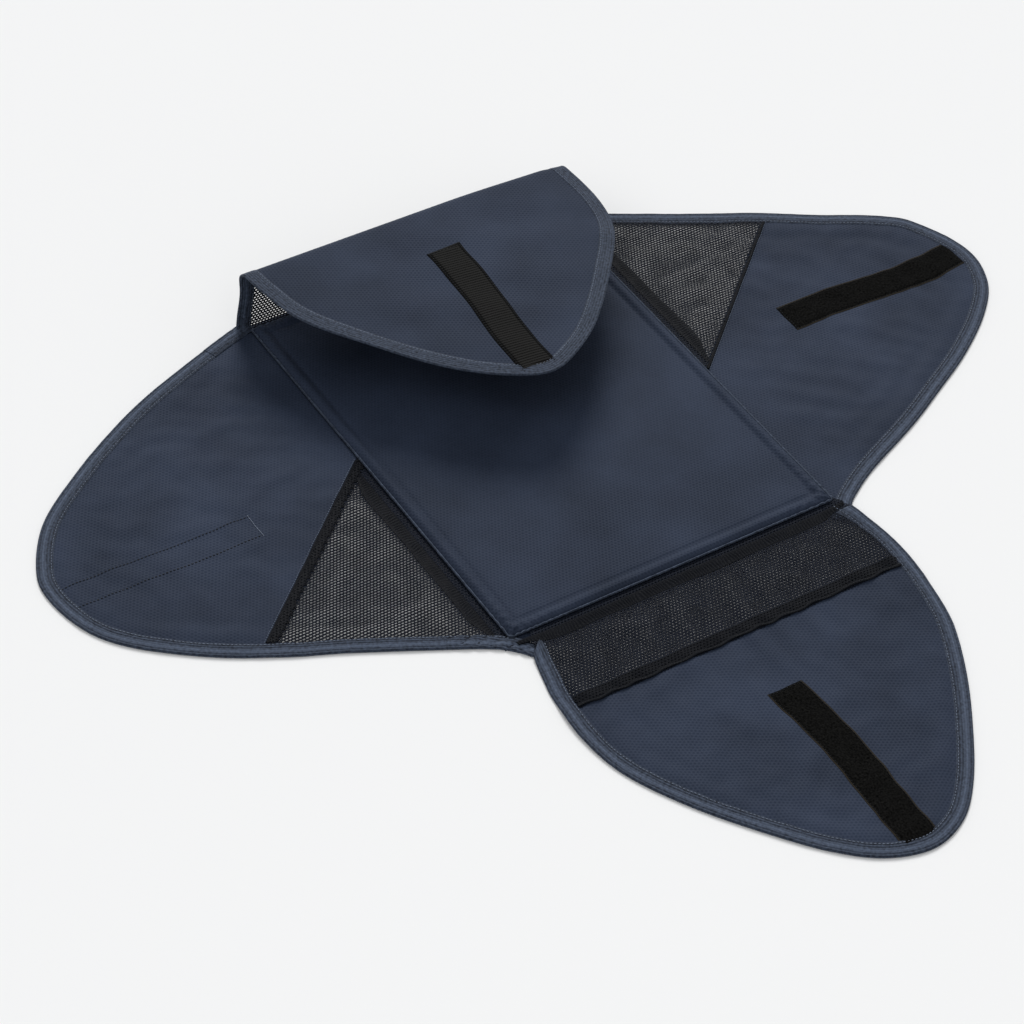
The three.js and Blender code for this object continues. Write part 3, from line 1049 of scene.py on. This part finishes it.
def strip_piece(name, wing, start, end, across, face, low, high, material, slot, sway, bow, lean):
    """A strip sewn to a flap: face is 1 on the inner face and -1 on the outer."""
    rows = np.arange(start, end + 0.01, STRIP_STEP)
    columns = np.linspace(-STRIP_W / 2, STRIP_W / 2, STRIP_COLUMNS)
    v, offset = np.meshgrid(rows, columns, indexing="ij")
    t = (v - start) / (end - start)
    middle = across + sway * np.sin(2 * math.pi * t) * (0.4 + 0.6 * t)
    middle = middle + bow * np.sin(math.pi * t) + lean * t
    u = middle + offset * (1 + 0.03 * noise(v / 21, 0 * v, 17))
    from_side = STRIP_W / 2 - np.abs(offset)
    from_end = np.minimum(v - start, end - v)
    rim = np.minimum(from_side, from_end)
    pile = smooth((rim - SELVAGE_W) / 0.8)
    if slot == "loop_tape":
        rough = 0.40 * noise(v / 0.9, offset / 0.9, 5) + 0.25 * noise(v / 2.6, offset / 2.1, 6)
    else:
        rough = 0.22 * np.cos(2 * math.pi * offset / 2.1) + 0.08 * noise(v / 1.2, offset / 1.2, 8)
    body = low + 0.30 + (high - low - 0.30) * pile * 0.8 + rough * pile
    body = np.where(rim < 0.4, low + 0.15, body) + 0.05 * np.cos(2 * math.pi * v / 1.3) * (1 - pile)
    top = wing.place(v, u, face * body).reshape(-1, 3)
    under = wing.place(v, u, np.full(v.shape, face * (low - 0.15))).reshape(-1, 3)
    faces = grid_faces(len(rows), len(columns))
    if face < 0:
        faces = turned_over(faces)
    uv = np.stack([v, offset], -1).reshape(-1, 2)
    obj = two_sided(name, top, under, faces, uv, material)
    return wing.follow(obj, "upper"), np.stack([v, u], -1)


def grid_faces(rows, columns):
    faces = []
    for i in range(rows - 1):
        for k in range(columns - 1):
            a = i * columns + k
            faces.append([a, a + columns, a + columns + 1, a + 1])
    return faces


def strip_rows(grid, inset):
    """A strip's three stitch lines, inset from its edges: its two sides and its inner end."""
    k = int(round(inset / (STRIP_W / (STRIP_COLUMNS - 1))))
    first = int(round(inset / STRIP_STEP))
    return grid[first:, k], grid[first:, -1 - k], grid[first, k:STRIP_COLUMNS - k]


# ---- Building the wings ----

STRIPS = {
    "back": dict(start=114, end=272, across=-4, face=-1, low=CLOTH_T, high=CLOTH_T + 1.1,
                 material=HOOK, slot="hook_tape", sway=-2.0, bow=0.0, lean=7.0),
    "front": dict(start=134, end=301, across=0, face=1, low=0.0, high=1.3,
                  material=LOOP, slot="loop_tape", sway=1.5, bow=3.5, lean=0.0),
    "left": dict(start=93, end=257, across=1, face=-1, low=CLOTH_T, high=CLOTH_T + 0.4,
                 material=HOOK, slot="hook_tape", sway=1.0, bow=0.0, lean=0.0),
    "right": dict(start=86, end=261, across=-5, face=1, low=0.0, high=1.3,
                  material=LOOP, slot="loop_tape", sway=3.5, bow=-2.5, lean=0.0),
}
STRIP_NODES = {"back": "back_hook_strip", "front": "front_loop_strip",
               "left": "left_hook_strip", "right": "right_loop_strip"}


def seam_side(polygon, side, overlap):
    """The part of a side wing on one side of the seam: side is 1 for net and -1 for cloth."""
    normal = np.array([-SEAM_RUN[1], SEAM_RUN[0]]) * side
    return clip(polygon, SEAM_INNER - normal * overlap, normal)


def wing_bindings(wing):
    made = {}
    for end, word in enumerate(ENDS[wing.name]):
        name = f"{wing.name}_wall_tape_{word}"
        made[word] = binding_piece(name, wing, "lower", end)
        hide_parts(f"{wing.name}_wall_binding_{word}")
    made["flap"] = binding_piece(f"{wing.name}_flap_tape", wing, "upper", 0)
    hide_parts(f"{wing.name}_flap_binding")
    return made


def wing_threads(wing, grid, face, strip_top, seam=None):
    """All of a wing's light stitching in two pieces, below and above the middle of its wall."""
    row = moved_in(wing.edge, STITCH_IN)
    middle = len(row) // 2
    starts = [wing.tape_start(end)[0] - (6.0 if wing.tape_start(end)[1] else -2.0) for end in (0, 1)]
    kept = np.where(np.arange(len(row)) < middle, row[:, 0] > starts[0], row[:, 0] > starts[1])
    row = row[kept]
    round_strip = strip_rows(grid, STRIP_STITCH_IN[wing.name])
    pieces = []
    for zone in ("lower", "upper"):
        thread = Thread(wing.place)
        below = zone == "lower"

        def wanted(p, below=below):
            return (p[0] < wing.split) == below

        thread.row(row, STITCH_TOP, 1, wanted=wanted)
        thread.row(row, STITCH_UNDER, -1, wanted=wanted)
        if wing.name == "left" and not below:
            thread.row(round_strip[2], 0.0, 1, length=3.4, width=0.7)
        if seam is not None:
            thread.row(seam, 0.95, 1, length=0.9, width=0.6, pitch=2.2, wanted=wanted)
        obj = thread.piece(f"{wing.name}_{'wall' if below else 'flap'}_stitching", LIGHT_THREAD)
        wing.follow(obj, zone)
        pieces.append(obj)
    dark = Thread(wing.place)
    for line in round_strip:
        dark.row(line, face * strip_top, face)
    for line in round_strip:
        dark.row(line, -CLOTH_T if face > 0 else 0.0, -face, width=0.95)
    obj = dark.piece(f"{wing.name}_strip_stitching", DARK_THREAD)
    wing.follow(obj, "upper")
    return pieces[0], pieces[1], obj


def build_strip(wing):
    settings = STRIPS[wing.name]
    strip, grid = strip_piece(f"{wing.name}_strip", wing, **settings)
    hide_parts(STRIP_NODES[wing.name])
    return strip, grid


def build_long_wing(wing):
    """Front or back wing: the wall is net and the flap is cloth."""
    name = wing.name
    hem = name == "front"
    seam = wing.wall + (HEM_W if hem else 0)
    whole = wing.outline(TUCK)
    net_part = clip(whole, np.array([seam, 0]), np.array([-1.0, 0]))
    cloth_part = clip(whole, np.array([seam - HEM_W, 0]), np.array([1.0, 0]))
    wall_net, wall_size = net_sheet(f"{name}_wall_net", wing, net_part, "lower")
    upper_net, upper_size = net_sheet(f"{name}_upper_net", wing, net_part, "upper")
    cloth, cloth_size = cloth_sheet(f"{name}_flap_cloth", wing, cloth_part, "upper")
    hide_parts(f"{name}_wall_mesh")
    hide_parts(f"{name}_flap_panel")
    on_wall, on_flap = [], []
    if hem:
        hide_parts("front_mesh_hem")
        first, last = net_part[:, 1].min(), net_part[:, 1].max()
        # This dark band also stands in for shade along the front of the pad: painted shade.
        on_wall.append(gathered_band("front_base_band", wing, first + 5, last - 9))
        doubled = clip(wing.outline(HEM_END), np.array([seam, 0]), np.array([-1.0, 0]))
        doubled = clip(doubled, np.array([wing.wall, 0]), np.array([1.0, 0]))
        on_flap.append(net_sheet("front_hem", wing, doubled, "upper", 0.9, (1.3, 0.7), True)[0])
        u = np.arange(doubled[:, 1].min() - 0.5, doubled[:, 1].max() + 0.5, 0.8)
        scallops = seam + 1.2 * np.sin(2 * math.pi * (u / 27 + 0.35 * noise(u / 40, seam / 90, 4)))
        on_flap.append(hem_roll("front_hem_roll", wing, np.stack([scallops, u], 1)[::-1], "upper", 1.1))
    tapes = wing_bindings(wing)
    strip, grid = build_strip(wing)
    settings = STRIPS[name]
    low, high, dark = wing_threads(wing, grid, settings["face"], settings["low"] + 0.35)
    first, second = ENDS[name]


def seam_line(wing, whole):
    """A side wing's seam, as far as the cloth goes at both ends."""
    line = resample([SEAM_INNER + 8 * unit(SEAM_INNER - SEAM_OUTER), SEAM_OUTER + 40 * SEAM_RUN], 0.8)
    return line[inside(line, whole)]


def build_side_wing(wing):
    """Left or right wing: cloth with a net corner."""
    name = wing.name
    under = UNDERLAPS[name]
    whole = wing.outline(TUCK)
    net_part = seam_side(whole, 1, 0.0)
    cloth_part = seam_side(whole, -1, under)
    wall_net, wall_net_size = net_sheet(f"{name}_wall_net", wing, net_part, "lower")
    flap_net, flap_net_size = net_sheet(f"{name}_flap_net", wing, net_part, "upper")
    wall_cloth, wall_size = cloth_sheet(f"{name}_wall_cloth", wing, cloth_part, "lower")
    flap_cloth, flap_size = cloth_sheet(f"{name}_flap_cloth", wing, cloth_part, "upper")
    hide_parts(f"{name}_wall_mesh")
    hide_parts(f"{name}_flap_mesh")
    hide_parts(f"{name}_wall_panel")
    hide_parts(f"{name}_flap_panel")
    doubled = seam_side(seam_side(wing.outline(HEM_END), 1, 0.0), -1, SIDE_HEM_W)
    seam = seam_line(wing, wing.outline(HEM_END - 1))
    on_nets = []
    for zone, word in (("lower", "wall"), ("upper", "flap")):
        on_nets.append([hem_roll(f"{name}_{word}_hem_roll", wing, seam, zone, 0.6)])
        if name == "left":
            on_nets[-1].append(net_sheet(f"left_{word}_hem", wing, doubled, zone, 0.9, (1.3, 0.7), True)[0])
    on_nets[0].append(gathered_band(f"{name}_base_band", wing, SEAM_INNER[1] + 2, whole[:, 1].max() - 16))
    tapes = wing_bindings(wing)
    strip, grid = build_strip(wing)
    settings = STRIPS[name]
    stitched = seam + 1.9 * np.array([SEAM_RUN[1], -SEAM_RUN[0]])
    low, high, dark = wing_threads(wing, grid, settings["face"], settings["low"] + 0.1, stitched)


# ---- Base ----

# how far in from the pad's edge its rings of points lie
PAD_RINGS = (0.0, 0.35, 0.8, 1.3, 1.9, 2.6, 3.5, 4.6, 6.0, 7.5, 9.0, 10.5, 12.0, 13.5)
PIPING_STEP = 0.9


def base_place(x, y, z):
    x, y, z = np.broadcast_arrays(x, y, z)
    return np.stack([x, y, z], -1).astype(float)


def half_size(node):
    low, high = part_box(node)
    return (high.x - low.x) / 2 / MM, (high.y - low.y) / 2 / MM


def rounded_rectangle(half_x, half_y, radius, steps=8):
    quarter = np.linspace(0, math.pi / 2, steps)
    points = []
    for k, (sx, sy) in enumerate(((1, 1), (-1, 1), (-1, -1), (1, -1))):
        angle = quarter + k * math.pi / 2
        points += [(sx * (half_x - radius) + radius * math.cos(a),
                    sy * (half_y - radius) + radius * math.sin(a)) for a in angle]
    return np.array(points)


def inside_distance(x, y, half_x, half_y, radius):
    """How far a point is inside a rounded rectangle."""
    dx, dy = np.abs(x) - (half_x - radius), np.abs(y) - (half_y - radius)
    outside = np.hypot(np.maximum(dx, 0), np.maximum(dy, 0))
    return radius - outside - np.minimum(np.maximum(dx, dy), 0)


def build_pad():
    """The lining over the board: a soft rolled edge with a piped ridge, wrinkled at its corners."""
    half_x, half_y = half_size("base_cover")
    rings = [rounded_rectangle(half_x - d, half_y - d, max(PAD_CORNER - d, 0.6))
             for d in PAD_RINGS]
    rings = [resample(np.concatenate([r, r[:1]]), 1.3)[:-1] for r in rings]
    middle, _ = triangulate(rounded_rectangle(half_x - 15, half_y - 15, 1.0), CLOTH_STEP)
    cloud = [Vector(p) for p in np.concatenate([*rings, middle])]
    made = delaunay_2d_cdt(cloud, [], [list(range(len(rings[0])))], 1, 1e-4)
    points = np.array([tuple(p) for p in made[0]])
    faces = [list(f) for f in made[2]]
    x, y = points[:, 0], points[:, 1]
    deep = np.clip(inside_distance(x, y, half_x, half_y, PAD_CORNER), 0, None)
    corner_x, corner_y = half_x - np.abs(x), half_y - np.abs(y)
    from_corner = np.hypot(corner_x, corner_y)
    fan = np.sin(11 * np.arctan2(corner_y, corner_x) + 1.3) * np.exp(-from_corner / 20)
    along = np.where(corner_x < corner_y, y, x)
    creases = np.cos(2 * math.pi * (along / 9 + 0.6 * noise(along / 23, deep / 8, 15)))
    creases = creases * np.exp(-from_corner / 34) + 0.25 * noise(along / 16, deep / 6, 2)
    edge = np.sqrt(np.clip(1 - (1 - np.clip(deep / PAD_ROUND, 0, 1)) ** 2, 0, 1))
    valley = np.exp(-((deep - PAD_ROLL) / 2.2) ** 2)
    roll = np.exp(-((deep - 5.5) / 4.0) ** 2)
    height = PAD_RISE * edge * (1 + 0.20 * fan) - 1.3 * valley
    height = height + roll * (1.7 + 0.75 * creases)
    height = height + 0.5 * waves(x, y, 7, 140) * smooth((deep - 6) / 30)
    height = np.where(deep < 0.05, 0.0, np.maximum(height, 0.05))
    top = base_place(x, y, INNER_Z + 0.1 + height)
    low = base_place(x, y, np.full(len(x), INNER_Z + 0.05))
    obj = two_sided("pad_cover", top, low, faces, points, CLOTH)
    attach(obj, "base")
    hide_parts("base_cover")
    return obj


def build_piping():
    """The covered cord that edges the pad, puckered towards its corners. It takes the lighter tape colour,
    a painted highlight along the pad's edge.
    """
    half_x, half_y = half_size("base_cover")
    line = rounded_rectangle(half_x + 0.3, half_y + 0.3, PAD_CORNER)
    line = resample(np.concatenate([line, line[:1]]), PIPING_STEP)[:-1]
    along = unit(np.roll(line, -1, axis=0) - np.roll(line, 1, axis=0))
    out = to_the_right(along)
    run = np.arange(len(line)) * PIPING_STEP
    from_corner = np.hypot(half_x - np.abs(line[:, 0]), half_y - np.abs(line[:, 1]))
    uneven = 0.7 * noise(run / 11, 0 * run, 5)
    pucker = np.exp(-from_corner / 30) * np.cos(2 * math.pi * (run / 6.5 + uneven))
    thick = 0.95 + 0.22 * pucker + 0.08 * noise(run / 4, 0 * run, 6)
    centre = INNER_Z + 1.9 + 0.45 * pucker
    angles = np.arange(8) * math.pi / 4
    sideways = thick[:, None] * np.cos(angles)
    x = line[:, 0:1] + out[:, 0:1] * sideways
    y = line[:, 1:2] + out[:, 1:2] * sideways
    z = centre[:, None] + thick[:, None] * np.sin(angles)
    points = base_place(x, y, z).reshape(-1, 3)
    total = len(line)
    faces = [[(i % total) * 8 + k, (i % total) * 8 + (k + 1) % 8,
              ((i + 1) % total) * 8 + (k + 1) % 8, ((i + 1) % total) * 8 + k]
             for i in range(total) for k in range(8)]
    uv = np.stack(np.broadcast_arrays(run[:, None], 5.0 + 0.7 * angles), -1).reshape(-1, 2)
    # Lighter tape colour: painted highlight along the pad's edge.
    obj = solid("pad_piping", points, facing_out(points, faces), uv, TAPE)
    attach(obj, "base")


def build_base_panel():
    half_x, half_y = half_size("base_panel")
    polygon = np.array([(half_x, half_y), (-half_x, half_y), (-half_x, -half_y), (half_x, -half_y)])
    points, faces = triangulate(polygon, 6.0)
    top = base_place(points[:, 0], points[:, 1], 0.62)
    low = base_place(points[:, 0], points[:, 1], FLOOR_CLEAR)
    obj = two_sided("base_cloth", top, low, faces, points, CLOTH)
    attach(obj, "base")
    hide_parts("base_panel", *[f"corner_binding_{c}" for c in
                                     ("back_right", "back_left", "front_left", "front_right")])


def build_board():
    board = frame["nodes"]["folding_board"]
    board.data.materials.clear()
    board.data.materials.append(BOARD)


# ---- Floor, light and camera ----

FLOOR_SIZE = 14          # in metres
WORLD_COLOR = (0.96, 0.98, 1.0, 1)
WORLD_STRENGTH = 0.50
# name: (azimuth, elevation, strength, angle across), angles in degrees
LIGHTS = {"key": (150, 38, 2.1, 24), "fill": (-60, 50, 0.45, 50)}
CAMERA_AZIMUTH = -34.384
CAMERA_ELEVATION = 44.329
CAMERA_ROLL = 3.275
CAMERA_DISTANCE = 2.4037
CAMERA_TARGET = Vector((-0.07442, -0.08358, 0))
CAMERA_LENS = 109.6


def direction(azimuth, elevation):
    """The direction from the object towards that azimuth and elevation, in degrees."""
    a, e = math.radians(azimuth), math.radians(elevation)
    return Vector((math.sin(a) * math.cos(e), -math.cos(a) * math.cos(e), math.sin(e)))


def build_stage():
    bpy.ops.mesh.primitive_plane_add(size=FLOOR_SIZE, location=(0, 0, 0))
    floor = bpy.context.object
    floor.name = "floor"
    m = Nodes("pale_floor", Roughness=0.9, Specular_IOR_Level=0.1)
    shade = m.noise(0.7, 2.0, m.object)
    m.finish(m.mix(shade, (0.895, 0.893, 0.890), (0.910, 0.907, 0.902)), m.to_range(shade, 0.85, 0.95),
             m.bump(shade, 0.01, 0.1))
    floor.data.materials.append(m.material)

    world = bpy.data.worlds.new("studio")
    bpy.context.scene.world = world
    world.use_nodes = True
    background = world.node_tree.nodes["Background"]
    background.inputs["Color"].default_value = WORLD_COLOR
    background.inputs["Strength"].default_value = WORLD_STRENGTH

    for name, (azimuth, elevation, strength, angle) in LIGHTS.items():
        light = bpy.data.lights.new(name, "SUN")
        light.energy = strength
        light.angle = math.radians(angle)
        lamp = bpy.data.objects.new(name, light)
        lamp.rotation_mode = "QUATERNION"
        lamp.rotation_quaternion = direction(azimuth, elevation).to_track_quat("Z", "Y")
        bpy.context.scene.collection.objects.link(lamp)


def build_camera():
    roll = math.radians(CAMERA_ROLL)
    back = direction(CAMERA_AZIMUTH, CAMERA_ELEVATION)
    right = (-back).cross(Vector((0, 0, 1))).normalized()
    up = right.cross(-back)
    x_axis = right * math.cos(roll) + up * math.sin(roll)
    y_axis = up * math.cos(roll) - right * math.sin(roll)
    camera = bpy.data.objects.new("camera", bpy.data.cameras.new("camera"))
    camera.data.sensor_width = 36
    camera.data.lens = CAMERA_LENS
    camera.data.clip_end = 100
    turn = Matrix((x_axis, y_axis, back)).transposed()
    camera.matrix_world = Matrix.Translation(CAMERA_TARGET + back * CAMERA_DISTANCE) @ turn.to_4x4()
    bpy.context.scene.collection.objects.link(camera)
    bpy.context.scene.camera = camera


build_camera()
build_stage()
bpy.context.scene.view_settings.view_transform = "Standard"
build_base_panel()
build_board()
build_pad()
build_piping()
for side in ("front", "left", "right"):
    settle(WINGS[side])
build_long_wing(WINGS["back"])
build_long_wing(WINGS["front"])
build_side_wing(WINGS["left"])
build_side_wing(WINGS["right"])
